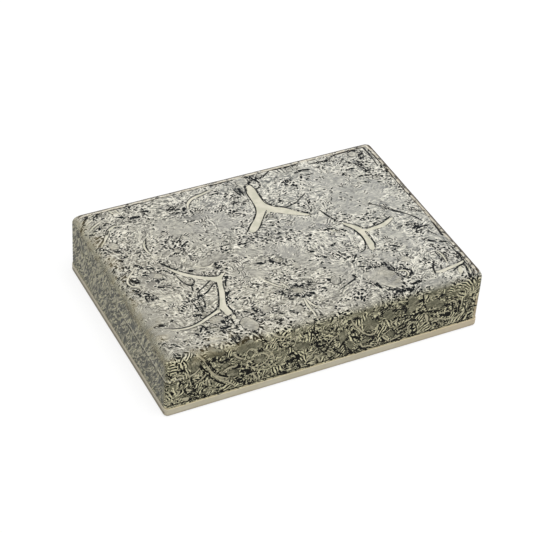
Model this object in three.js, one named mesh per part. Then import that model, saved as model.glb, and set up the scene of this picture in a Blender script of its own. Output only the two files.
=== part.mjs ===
// A flat papier-mache box with a lift-off lid, in millimetres. +X runs along the length, +Y to the back
// and +Z up, with the origin at the middle of the underside. The box is formed as one closed case on a
// block, covered, and cut through at the seam. So the lid and the base meet rim to rim, and four strips
// of pasteboard glued inside the base stand up past the seam and keep the lid in its place.
import * as THREE from "three";

// Driving dimensions of the closed box
const boxLength = 150;
const boxWidth = 104;
const boxHeight = 32;
const footHeight = 4; // the plain board under the base, whose edge stays bare
const seamHeight = 19; // where the closed case was cut into base and lid

// Thicknesses of the layers
const shellThickness = 2.2; // the formed lid, and the floor of the base
const coverThickness = 0.4; // decorated paper with its varnish
const collarThickness = 1.4;
const liningThickness = 0.4;

// Clearances
const lidClearance = 0.3; // between the collar and the inside of the lid, all round
const liningClearance = 0.3; // between a lining sheet and what stands round it

// Rounded edges and corners
const cornerRadius = 2; // upright corners, outside
const topEdgeRadius = 5; // long edges of the lid's top, outside
const cornerSoftening = 2.5; // what an upright corner's radius gains over the top edge
const blockCornerRadius = 0.8; // upright corners, inside, as the forming block leaves them
const footEdgeRadius = 1.2; // lower edge of the foot board
const foldBevel = 0.25; // outer edge of the paper's fold at the rims

// Paper turned over the rims, and the collar
const baseTurnInShare = 0.47; // of the base's inside wall, from the floor to the seam
const lidTurnInShare = 0.75; // of the lid's inside wall, from the seam to where it starts to round
const collarRiseShare = 0.625; // of the same wall: how far the collar stands up into the lid
const collarLeadInShare = 0.24; // of that rise: the height of the bevel at the collar's top edge
const collarLeadInInset = 0.6;

// How finely the curves are divided
const cornerSteps = 8;
const topEdgeSteps = 9;
const footEdgeSteps = 4;

// Insets from the outer faces, from the outside to the inside
const shellInset = coverThickness;
const lidWallInset = shellInset + shellThickness;
const lidMouthInset = lidWallInset + coverThickness;
const collarInset = lidMouthInset + lidClearance;
const baseWallInset = collarInset - coverThickness;
const collarInnerInset = collarInset + collarThickness;

// Heights, from the table up
const floorHeight = footHeight + shellThickness;
const ceilingHeight = boxHeight - coverThickness - shellThickness;
const baseInsideWall = seamHeight - floorHeight;
const lidInsideWall = boxHeight - topEdgeRadius - seamHeight;
const collarRise = lidInsideWall * collarRiseShare;
const collarTop = seamHeight + collarRise;
const collarShoulder = collarTop - collarRise * collarLeadInShare;

const decorated = new THREE.MeshStandardMaterial({ color: 0xa8a69c, roughness: 0.5, metalness: 0 });
const plainFoot = new THREE.MeshStandardMaterial({ color: 0xc2bba4, roughness: 0.6, metalness: 0 });
const papierMache = new THREE.MeshStandardMaterial({ color: 0xb9ae95, roughness: 0.8, metalness: 0 });
const pasteboard = new THREE.MeshStandardMaterial({ color: 0xcfc6ad, roughness: 0.75, metalness: 0 });
const liningPaper = new THREE.MeshStandardMaterial({ color: 0xd6cfb8, roughness: 0.85, metalness: 0 });

// One turn round the box: a rounded rectangle set in from the outer faces, anticlockwise from above.
function turn(inset, radius, z) {
  const x = boxLength / 2 - inset - radius;
  const y = boxWidth / 2 - inset - radius;
  const centres = [[x, y], [-x, y], [-x, -y], [x, -y]];
  return centres.flatMap(([cx, cy], corner) =>
    Array.from({ length: cornerSteps + 1 }, (_, step) => {
      const angle = (corner + step / cornerSteps) * (Math.PI / 2);
      return [cx + radius * Math.cos(angle), cy + radius * Math.sin(angle), z];
    }),
  );
}

// The top edge of the lid, some depth under its outside: a quarter round from the wall to the flat top,
// over which the upright corners grow softer.
function topEdge(depth, wallCornerRadius) {
  const radius = topEdgeRadius - depth;
  return Array.from({ length: topEdgeSteps + 1 }, (_, step) => {
    const angle = (step / topEdgeSteps) * (Math.PI / 2);
    const share = 1 - Math.cos(angle);
    return turn(
      depth + radius * share,
      wallCornerRadius + cornerSoftening * share,
      boxHeight - topEdgeRadius + radius * Math.sin(angle),
    );
  });
}

// A solid from turns of equal length, each joined to the next. They run up an outside wall and down an
// inside one. Flat caps close the first turn, facing down, and the last, facing up; without caps the
// last turn joins the first.
function solidFromTurns(turns, { capped = true } = {}) {
  const count = turns[0].length;
  const points = turns.flat();
  const faces = [];
  const joins = capped ? turns.length - 1 : turns.length;
  for (let i = 0; i < joins; i++) {
    const lower = i * count;
    const upper = ((i + 1) % turns.length) * count;
    for (let j = 0; j < count; j++) {
      const next = (j + 1) % count;
      faces.push([lower + j, lower + next, upper + next], [lower + j, upper + next, upper + j]);
    }
  }
  if (capped) {
    const last = (turns.length - 1) * count;
    const middle = (ring) =>
      [0, 1, 2].map((axis) => ring.reduce((sum, point) => sum + point[axis], 0) / count);
    const under = points.push(middle(turns[0])) - 1;
    const over = points.push(middle(turns[turns.length - 1])) - 1;
    for (let j = 0; j < count; j++) {
      const next = (j + 1) % count;
      faces.push([next, j, under], [last + j, last + next, over]);
    }
  }
  const geometry = new THREE.BufferGeometry();
  geometry.setAttribute("position", new THREE.Float32BufferAttribute(points.flat(), 3));
  geometry.setIndex(faces.flat());
  const flatShaded = geometry.toNonIndexed();
  flatShaded.computeVertexNormals();
  return flatShaded;
}

function named(name, geometry, material) {
  const mesh = new THREE.Mesh(geometry, material);
  mesh.name = name;
  return mesh;
}

// The foot board: a plain slab as large as the covered case, with its lower edge eased.
function footBoard() {
  const eased = Array.from({ length: footEdgeSteps + 1 }, (_, step) => {
    const angle = (step / footEdgeSteps) * (Math.PI / 2);
    const inset = footEdgeRadius * (1 - Math.sin(angle));
    return turn(inset, cornerRadius - inset, footEdgeRadius * (1 - Math.cos(angle)));
  });
  return named("foot_board", solidFromTurns([...eased, turn(0, cornerRadius, footHeight)]), plainFoot);
}

// The formed base: floor and walls in one, open at the top.
function baseShell() {
  const outerRadius = cornerRadius - shellInset;
  const rim = seamHeight - coverThickness;
  return named(
    "base_shell",
    solidFromTurns([
      turn(shellInset, outerRadius, footHeight),
      turn(shellInset, outerRadius, rim),
      turn(baseWallInset, blockCornerRadius, rim),
      turn(baseWallInset, blockCornerRadius, floorHeight),
    ]),
    papierMache,
  );
}

// The base's cover: one band round the walls, folded over the rim and turned down inside.
function baseCover() {
  const innerRadius = blockCornerRadius - coverThickness;
  const bottomOfTurnIn = seamHeight - baseInsideWall * baseTurnInShare;
  return named(
    "base_cover",
    solidFromTurns(
      [
        turn(0, cornerRadius, footHeight),
        turn(0, cornerRadius, seamHeight - foldBevel),
        turn(foldBevel, cornerRadius - foldBevel, seamHeight),
        turn(collarInset, innerRadius, seamHeight),
        turn(collarInset, innerRadius, bottomOfTurnIn),
        turn(baseWallInset, blockCornerRadius, bottomOfTurnIn),
        turn(baseWallInset, blockCornerRadius, seamHeight - coverThickness),
        turn(shellInset, cornerRadius - shellInset, seamHeight - coverThickness),
        turn(shellInset, cornerRadius - shellInset, footHeight),
      ],
      { capped: false },
    ),
    decorated,
  );
}

// One strip of the collar, as if it stood along the front: mitred at both ends, with its outer corners
// eased to pass the block's round corners, and its top edge bevelled to lead the lid on.
function collarStrip(name, sideLength, acrossLength) {
  const level = (inset, z) => {
    const along = sideLength / 2;
    const across = acrossLength / 2;
    const eased = inset + blockCornerRadius;
    const mitred = inset + blockCornerRadius / 2;
    return [
      [along - eased, -(across - inset), z],
      [along - mitred, -(across - mitred), z],
      [along - collarInnerInset, -(across - collarInnerInset), z],
      [-(along - collarInnerInset), -(across - collarInnerInset), z],
      [-(along - mitred), -(across - mitred), z],
      [-(along - eased), -(across - inset), z],
    ];
  };
  const strip = solidFromTurns([
    level(collarInset, floorHeight),
    level(collarInset, collarShoulder),
    level(collarInset + collarLeadInInset, collarTop),
  ]);
  return named(name, strip, pasteboard);
}

// The collar: four strips round the inside of the base, each turned to its wall.
function collar() {
  const sides = [
    ["collar_front", boxLength, boxWidth],
    ["collar_right", boxWidth, boxLength],
    ["collar_back", boxLength, boxWidth],
    ["collar_left", boxWidth, boxLength],
  ];
  return sides.map(([name, sideLength, acrossLength], quarter) => {
    const strip = collarStrip(name, sideLength, acrossLength);
    strip.rotation.z = quarter * (Math.PI / 2);
    return strip;
  });
}

// The formed lid: top and walls in one, open underneath.
function lidShell() {
  const rim = seamHeight + coverThickness;
  return named(
    "lid_shell",
    solidFromTurns([
      ...topEdge(lidWallInset, blockCornerRadius).reverse(),
      turn(lidWallInset, blockCornerRadius, rim),
      turn(shellInset, cornerRadius - shellInset, rim),
      ...topEdge(shellInset, cornerRadius - shellInset),
    ]),
    papierMache,
  );
}

// The lid's cover: one sheet over the top and walls, folded under the rim and turned up inside.
function lidCover() {
  const innerRadius = blockCornerRadius - coverThickness;
  const topOfTurnIn = seamHeight + lidInsideWall * lidTurnInShare;
  const rim = seamHeight + coverThickness;
  return named(
    "lid_cover",
    solidFromTurns([
      ...topEdge(shellInset, cornerRadius - shellInset).reverse(),
      turn(shellInset, cornerRadius - shellInset, rim),
      turn(lidWallInset, blockCornerRadius, rim),
      turn(lidWallInset, blockCornerRadius, topOfTurnIn),
      turn(lidMouthInset, innerRadius, topOfTurnIn),
      turn(lidMouthInset, innerRadius, seamHeight),
      turn(foldBevel, cornerRadius - foldBevel, seamHeight),
      turn(0, cornerRadius, seamHeight + foldBevel),
      ...topEdge(0, cornerRadius),
    ]),
    decorated,
  );
}

// A sheet of lining paper glued on the floor or under the ceiling.
function liningSheet(name, inset, radius, bottom) {
  return named(
    name,
    solidFromTurns([turn(inset, radius, bottom), turn(inset, radius, bottom + liningThickness)]),
    liningPaper,
  );
}

function baseLining() {
  return liningSheet("base_lining", collarInnerInset + liningClearance, blockCornerRadius, floorHeight);
}

function lidLining() {
  const radius = blockCornerRadius + cornerSoftening;
  return liningSheet("lid_lining", topEdgeRadius + liningClearance, radius, ceilingHeight - liningThickness);
}

const base = new THREE.Group();
base.name = "base";
base.add(footBoard(), baseShell(), baseCover(), ...collar(), baseLining());

const lid = new THREE.Group();
lid.name = "lid";
lid.add(lidShell(), lidCover(), lidLining());

const box = new THREE.Group();
box.name = "papier_mache_box";
box.add(base, lid);

export default box;
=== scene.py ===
import math

import bpy
import numpy as np
from mathutils import Matrix, Vector


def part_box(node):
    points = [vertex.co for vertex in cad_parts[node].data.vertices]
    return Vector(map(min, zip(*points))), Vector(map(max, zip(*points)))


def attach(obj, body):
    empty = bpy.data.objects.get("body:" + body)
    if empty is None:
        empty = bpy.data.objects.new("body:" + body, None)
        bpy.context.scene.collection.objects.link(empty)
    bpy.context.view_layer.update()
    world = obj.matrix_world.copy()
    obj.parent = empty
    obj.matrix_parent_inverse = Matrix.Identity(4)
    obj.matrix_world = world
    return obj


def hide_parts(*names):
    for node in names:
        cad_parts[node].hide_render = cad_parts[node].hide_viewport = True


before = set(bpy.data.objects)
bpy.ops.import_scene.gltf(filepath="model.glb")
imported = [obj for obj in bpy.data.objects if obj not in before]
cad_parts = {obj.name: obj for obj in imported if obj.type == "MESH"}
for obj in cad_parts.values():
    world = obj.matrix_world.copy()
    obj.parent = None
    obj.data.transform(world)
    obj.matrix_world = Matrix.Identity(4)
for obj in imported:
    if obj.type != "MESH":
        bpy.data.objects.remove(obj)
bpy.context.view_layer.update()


# The camera looks down on the box from the left of its front, and leans a little to one side. Its place
# and its lens were fitted to the whole outline of the box.
image_size = 533
focal_length_px = 1841.5
sensor_width = 36
camera_place = Vector((-0.3048, -0.5444, 0.5310))
looking_along = Vector((0.37346, 0.67547, -0.63582)).normalized()
lean = math.radians(4.16)


def added(name, data):
    """A new object with this data, in the scene."""
    made = bpy.data.objects.new(name, data)
    bpy.context.scene.collection.objects.link(made)
    return made


level = looking_along.cross(Vector((0, 0, 1))).normalized()
upright = level.cross(looking_along)
right = level * math.cos(lean) + upright * math.sin(lean)
up = upright * math.cos(lean) - level * math.sin(lean)
turned = Matrix((right, up, -looking_along)).transposed().to_4x4()

camera = added("camera", bpy.data.cameras.new("camera"))
camera.data.sensor_width = sensor_width
camera.data.lens = focal_length_px / image_size * sensor_width
camera.matrix_world = Matrix.Translation(camera_place) @ turned
bpy.context.scene.camera = camera


# The lid's cover is one sheet of decorated paper, pasted over the formed lid and varnished. It wraps
# the soft top edge and the upright corners, and is folded under the rim and pasted up inside.
lid_low, lid_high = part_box("lid_cover")
half_length, half_width, top = lid_high
seam = lid_low.z
paper = 0.0004
fold = 0.00025
wall_corner = 0.002
top_edge = 0.005
corner_softening = 0.0025
block_corner = 0.0008
inner_corner = block_corner - paper
wall_inset = 0.0026
mouth_inset = 0.003
turn_in = 0.006  # how deep the folded paper reaches inside, from the seam
turn_in_step = 0.0015
sunk = 0.00025  # how deep the sheet lies under its raised branches
sheet_corner = wall_corner - sunk
sharp_fold = math.radians(35)

stitch = 0.0005  # the cell of the fine mesh
corner_cells = 6
inner_edge_steps = 5
outer_edge_steps = 14
flat_inset = 0.0095  # where the flat middle's even grid starts
flat_x, flat_y = half_length - flat_inset, half_width - flat_inset
long_cells, short_cells = round(2 * flat_x / stitch), round(2 * flat_y / stitch)

# the front, right, back and left side: the way along it, the way out of it and its number of cells
sides = [
    (Vector((1, 0)), Vector((0, -1)), long_cells),
    (Vector((0, 1)), Vector((1, 0)), short_cells),
    (Vector((-1, 0)), Vector((0, 1)), long_cells),
    (Vector((0, -1)), Vector((-1, 0)), short_cells),
]
side_starts = np.cumsum([0] + [cells + corner_cells for _, _, cells in sides])[:4]


def turn(inset, z, radius):
    """One turn of points round the box from the left end of its front, with each side's cells even."""
    reach = (half_length - inset - radius, half_width - inset - radius)
    points = []
    for side, (along, out, cells) in enumerate(sides):
        half = reach[side % 2]
        centre = along * half + out * reach[1 - side % 2]
        end = centre + out * radius
        points += [end - along * (2 * half) * (1 - i / cells) for i in range(cells)]
        for j in range(corner_cells):
            angle = j / corner_cells * math.pi / 2
            points.append(centre + (out * math.cos(angle) + along * math.sin(angle)) * radius)
    return [(p.x, p.y, z) for p in points]


def walk(start, end, step=stitch):
    """Turns on a straight way between two (inset, height, corner radius) turns, without the first."""
    steps = max(1, round(math.dist(start[:2], end[:2]) / step))
    return [tuple(a + (b - a) * i / steps for a, b in zip(start, end)) for i in range(1, steps + 1)]


def rounded_edge(depth, corner, steps):
    """The soft top edge from the wall to the flat, some depth under the cover's outside."""
    radius = top_edge - depth
    way = []
    for i in range(steps + 1):
        angle = i / steps * math.pi / 2
        share = 1 - math.cos(angle)
        height = top - top_edge + radius * math.sin(angle)
        way.append((depth + radius * share, height, corner + corner_softening * share))
    return way


def paper_mesh(name, inner_way, outer_way, first_distance, flat_middle):
    """Lofts a sheet from its way round the edge, given as turns: inside first, then up the outside.
    Lays out the sheet's own map, in metres: the sheet as if cut at the upright corners and unfolded
    flat. The first outside turn is first_distance from where the flat middle of the top starts."""
    way = inner_way + outer_way
    rings = [turn(*place) for place in way]
    count = len(rings[0])
    points = [point for ring in rings for point in ring]
    joins = len(rings) - 1 if flat_middle else len(rings)
    faces = []
    for i in range(joins):
        lower, upper = i * count, (i + 1) % len(rings) * count
        for j in range(count):
            k = (j + 1) % count
            faces.append((lower + j, lower + k, upper + k, upper + j))
    if flat_middle:
        # the last turn has sharp corners, and its sides are the border of the grid in the middle
        border = side_starts + (len(rings) - 1) * count
        index = np.zeros((short_cells + 1, long_cells + 1), int)
        index[:, -1] = border[1] + np.arange(short_cells + 1)
        index[:, 0] = border[3] + np.arange(short_cells + 1)[::-1]
        index[0] = border[0] + np.arange(long_cells + 1)
        index[-1] = border[2] + np.arange(long_cells + 1)[::-1]
        middle = index[1:-1, 1:-1]
        middle[:] = len(points) + np.arange(middle.size).reshape(middle.shape)
        points += [
            (2 * flat_x * column / long_cells - flat_x, 2 * flat_y * row / short_cells - flat_y, top - sunk)
            for row in range(1, short_cells)
            for column in range(1, long_cells)
        ]
        cells = np.stack([index[:-1, :-1], index[:-1, 1:], index[1:, 1:], index[1:, :-1]], -1)
        faces += cells.reshape(-1, 4).tolist()
        faces.append(tuple(reversed(range(count))))
    mesh = bpy.data.meshes.new(name)
    mesh.from_pydata(points, [], faces)
    outside = np.ones(len(points), np.float32)
    outside[: (len(inner_way) + 1) * count] = 0
    mesh.attributes.new("outside", "FLOAT", "POINT").data.foreach_set("value", outside)

    # the unfolded map
    lengths = [[math.dist(ring[j], ring[(j + 1) % count]) for j in range(count)] for ring in rings]
    arcs = [np.cumsum([0] + cell_lengths) for cell_lengths in lengths]
    steps = [math.dist(way[i][:2], way[(i + 1) % len(rings)][:2]) for i in range(len(rings))]
    down = np.cumsum([0] + steps)
    down = first_distance - (down - down[len(inner_way)])
    half_corner = corner_cells // 2
    side_of = [side for side in range(4) for _ in range(sides[side][2] + corner_cells)]
    side_of = side_of[half_corner:] + [0] * half_corner
    places = []
    for i in range(joins):
        for j, side in enumerate(side_of):
            along, out, cells = sides[side]
            start = side_starts[side]
            last_corner = side == 0 and j >= count // 2
            for ring, step in ((i, j), (i, j + 1), (i + 1, j + 1), (i + 1, j)):
                arc = arcs[ring % len(rings)]
                middle = (arc[start] + arc[start + cells]) / 2 + (arc[count] if last_corner else 0)
                t = arc[step] - middle
                distance = (flat_y, flat_x)[side % 2] + down[ring]
                places.append((along.x * t + out.x * distance, along.y * t + out.y * distance))
    for polygon in mesh.polygons[len(places) // 4 :]:
        places += [tuple(mesh.vertices[vertex].co.xy) for vertex in polygon.vertices]
    flat_map = mesh.uv_layers.new(name="paper")
    flat_map.data.foreach_set("uv", np.array(places, np.float32).ravel())
    mesh.shade_smooth()
    mesh.set_sharp_from_angle(angle=sharp_fold)
    return mesh


to_seam = (flat_inset - top_edge) + top_edge * math.pi / 2 + (top - top_edge - seam)
folded = (sunk + fold, seam, wall_corner - sunk - fold)
mouth = (mouth_inset, seam, inner_corner)
turned_in = seam + turn_in
lid_inside = (
    rounded_edge(paper, wall_corner - paper, inner_edge_steps)[::-1]
    + [(paper, seam + paper, wall_corner - paper), (wall_inset, seam + paper, block_corner)]
    + [(wall_inset, turned_in, block_corner), (mouth_inset, turned_in, inner_corner)]
    + walk((mouth_inset, turned_in, inner_corner), mouth, turn_in_step)
    + [folded]
)
lid_outside = (
    [(sunk, seam + fold, sheet_corner)]
    + walk((sunk, seam + fold, sheet_corner), (sunk, top - top_edge, sheet_corner))[:-1]
    + rounded_edge(sunk, sheet_corner, outer_edge_steps)
    + walk((top_edge, top - sunk, wall_corner + corner_softening - sunk), (flat_inset, top - sunk, 0))
)
lid_paper = added("lid_paper", paper_mesh("lid_paper", lid_inside, lid_outside, to_seam - fold, True))


# The painting is done by hand on the varnish ground. The branches are laid on in thick cream colour, so
# they stand a little proud. Finer lines and dashes are drawn with ink, and smooth stones, calm places
# and darker washes lie between them.
def on_top(x, y):
    """The point of the lid's top, and of its rounded edge, over x and y."""
    out = max(abs(x) - half_length, abs(y) - half_width, -top_edge) + top_edge
    return (x, y, top - sunk - top_edge + math.sqrt(top_edge**2 - out**2))


def on_front(x, height):
    """The point of the front, and of the rounded edge over it, at x and a height."""
    rise = max(height - top, -top_edge) + top_edge
    return (x, sunk - half_width + top_edge - math.sqrt(top_edge**2 - rise**2), height)


def stroke_lines(name, top_table, front_table):
    """Strokes as plain lines with a width at every point, for the tree below to lay on the paper. Each
    stroke is a row of points as the brush went, with its x, y and width in millimetres: first those on
    the lid's top, and then those down the front, where y is the height."""
    points, edges, widths = [], [], []
    for table, place in ((top_table, on_top), (front_table, on_front)):
        for stroke in table.split(";"):
            rows = [[float(number) / 1000 for number in point.split()] for point in stroke.split(",")]
            edges += [(len(points) + i, len(points) + i + 1) for i in range(len(rows) - 1)]
            points += [place(x, y) for x, y, _ in rows]
            widths += [width for _, _, width in rows]
    lines = bpy.data.meshes.new(name)
    lines.from_pydata(points, edges, [])
    lines.attributes.new("stroke_width", "FLOAT", "POINT").data.foreach_set("value", widths)
    return lines


branch_lines = stroke_lines(
    "branch",
    """
    5.6 39 3.2, 5.5 36 4.7, 5.3 31 4.8, 5.2 27 5.3, 5.4 23.6 6.4;
    5.4 23.6 6.4, 2.4 19.2 4.4, -0.9 15.8 3.8, -4 12.6 4, -6 10.6 3.4;
    5.4 23.6 6.4, 9.4 20.2 4.6, 13 17.6 3.9, 16.8 14.6 3.2, 21 11.4 1.6;
    33.2 -0.4 0.9, 35.2 -3.2 2.4, 37.1 -6.2 3, 37.9 -9.2 3.4, 37.8 -12.8 2.9, 37.5 -16.6 3,
    36.4 -20.4 2.4; 38.2 -8.6 2.6, 42 -8.3 2, 47 -8.1 2.2, 50.6 -7.2 2.1, 54.6 -5.2 1.1;
    -51.6 3.6 0.5, -50 -0.6 1.1, -46.6 -5.2 1.9, -42.4 -8.9 2, -38.4 -11.6 2, -34.3 -13.8 3.4;
    -34.3 -13.8 3, -32 -12.2 1.5, -30 -11 0.6;
    -34.3 -13.8 3.4, -35.4 -18 2.3, -36.6 -22.4 2.4, -38.4 -26.8 2.6, -39.9 -30.6 3.4;
    -39.9 -30.6 3.4, -39.7 -34 3.2, -38.8 -38.4 2.2;
    -40.6 -31.4 2.4, -45.4 -33.3 1.4, -49.6 -35 1.2, -54 -36.7 1.1, -59 -37.3 0.8, -64 -36.4 0.7,
    -67.2 -34.6 0.3;
    -53.6 9.4 0.3, -54 12 0.5, -54.6 15 0.8, -54.3 18.4 0.8, -52.8 20.9 0.7, -51 22.6 0.3;
    -26 35.2 0.5, -24.6 38.4 1.1, -21.2 41.1 1.1, -16.4 42.2 1.1, -11 43.6 0.5;
    -71.6 24.4 0.5, -69 27.6 1, -66.6 30.4 1.1, -64.4 33.8 1.1, -61 35.7 0.9, -59.6 35.2 0.2;
    -73.8 43.6 0.3, -69.4 45.8 0.8, -64 47.4 0.3; -73.8 40.2 0.3, -69.6 42.6 0.7, -65 45.2 0.3;
    -72.8 36.2 0.3, -69.2 38.8 0.8, -64.6 41.4 0.3; -72.6 32.8 0.3, -69.4 35.6 0.8, -65.8 37.8 0.3;
    -67 37 0.3, -63.4 39.2 0.7, -60.8 38.8 0.2; -59.4 47.4 0.5, -58.4 45.2 0.8, -57.4 42.8 0.2;
    -56.4 47.2 0.3, -55.8 44.4 0.7, -54.6 42.2 0.2;
    -17.8 -19.2 0.3, -15.8 -23.4 0.9, -13.6 -26.6 0.9, -11.4 -29 0.3;
    -10.6 -25.6 0.2, -10 -28.4 0.7, -8.8 -30.6 0.2; -6.4 -39.6 0.5, -6.9 -44.2 1.1, -6.4 -49.6 0.8;
    -5.6 -39.6 0.5, -4.8 -43.6 0.9, -2.8 -47 0.3;
    54 -45.2 0.7, 57 -45.6 1.5, 61 -45 1.5, 66 -44.2 1.2, 71.4 -42.4 0.7;
    61.8 -32.8 0.3, 62.7 -36.6 1.1, 62 -41.4 0.5;
    -39.8 -2.4 0.3, -36.6 -4.4 0.7, -33.4 -4.6 0.7, -30.4 -2.2 0.3;
    -65.6 4.2 0.5, -68.6 1.6 0.7, -70.4 -1.6 0.8, -69.4 -4.6 0.7, -66.8 -5.2 0.6;
    40.2 -38.4 0.7, 42.4 -39.2 0.8, 42.6 -41.6 0.7, 41 -43.2 0.5;
    25 -1.6 0.3, 26.4 -3.2 0.7, 28.6 -4.4 0.3; 69 -46 0.8, 68.8 -50 1; 65.4 -46.6 1.6, 64.6 -48.4 2.2;
    70.6 -15 0.8, 70.4 -19 0.9, 70.4 -24 0.6""",
    """
    -60.8 29 0.6, -58.4 26.4 0.9, -56.4 23 0.9, -54.8 20 0.9, -52.4 16.6 0.8, -49.8 14 0.7,
    -46.8 12 0.4;
    -56.6 22.4 0.3, -55.2 18.8 0.6, -53 15.4 0.6, -50 12.2 0.6, -46.8 10 0.6, -44.8 8.2 0.6,
    -42.8 6 0.3; -60 22 0.5, -62 20.2 0.9, -64.2 19.4 0.9, -65.2 20.6 0.6;
    -60.2 15.2 0.6, -58.2 16.4 0.7, -57 18.4 0.7, -58.4 20.4 0.5;
    -49.2 16.4 0.6, -46.4 17.8 0.9, -43.8 17.4 0.6; -44.2 24.2 0.7, -43 22.4 0.9, -40.6 20.6 0.7;
    -39 22 0.4, -38.6 23.8 0.6, -37 24.8 0.6, -35 23.8 0.6, -33.8 21.6 0.5;
    -35.4 20 0.6, -32 20.8 0.6, -29.4 19.2 0.6, -28.4 17 0.6, -30.4 14.6 0.6, -33.4 14 0.5,
    -36 14.6 0.3; -28.8 21.2 0.4, -26.6 18.4 0.6, -25.6 15 0.5; -28.2 17.2 0.3, -26.6 20.4 0.5;
    -35.2 31 0.6, -32.2 29 0.7, -29 26.4 0.7, -26 24 0.4; -27.2 29.2 0.4, -24 27 0.8, -20.8 25.8 0.6;
    -66.6 7.6 1.6, -65.4 7 2.1; -74 8.2 0.4, -71.6 8 0.4; -71 21.8 0.3, -66.8 20.8 0.4;
    -35 10 0.7, -33.6 7.4 0.9; -10 8 0.4, -8 11 0.6, -5.6 14 0.5;
    -5.6 9.8 0.6, -4 7.4 0.6, -3.2 5.6 0.4; 0 15.4 0.5, 2.6 17.4 0.6, 4.8 18.6 0.4;
    0.4 10.6 0.4, 3 8.6 0.6, 4.6 6.2 0.4;
    10.2 24.6 0.4, 11.6 21.8 0.7, 14 18.8 0.7, 16.4 15.6 0.7, 19.4 13.2 0.7, 22.2 13 0.7, 23.4 14.2 0.4;
    16.2 8.8 0.6, 17.2 7.2 0.7, 20 6.8 0.7, 22.2 5.4 0.4; 23.4 5.2 0.4, 24.6 7.4 0.5, 23.8 9.2 0.3;
    26.6 10 0.4, 28.2 8 0.7, 29.8 6.2 0.6; 27 10.6 0.4, 29 12 0.5, 30.4 12.8 0.3;
    30.6 6 0.4, 34.6 6.8 0.6, 36.6 7.4 0.4; 34.6 9.8 0.4, 37.6 10.6 0.6; 35.4 7.6 0.4, 38.6 8.6 0.6;
    34.8 12 0.4, 37 12.8 0.4; 37.4 5.6 0.4, 39.8 6.4 0.5;
    39.2 8.4 0.5, 39 11 0.6, 40.6 12.8 0.6, 42.6 12.6 0.5; 47.4 14.6 1.2, 48.2 12.8 1.4, 48.6 11 0.9;
    50 9.2 0.4, 52.6 9.8 0.6, 54 7.6 0.4; 52 6.6 0.4, 54 8.4 0.6, 57 7 0.4;
    51.4 14.2 0.4, 55.6 13.4 0.6, 59 13.8 0.4; 51 12 0.3, 54.4 10.8 0.5, 58 9 0.5, 61 8.8 0.4;
    59.4 19 0.6, 61.6 18.2 0.6, 62.6 15.6 0.5; 60 9.4 0.4, 63 8.2 0.6, 66 10 0.6, 67.6 12 0.4;
    64.8 13 0.4, 65.4 16 0.5, 64.4 19 0.4; 60 6 0.4, 64 5.8 0.4, 66.6 7.2 0.4;
    73.7 17 0.4, 73.7 10 0.6, 73.5 3 0.5""",
)
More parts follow.
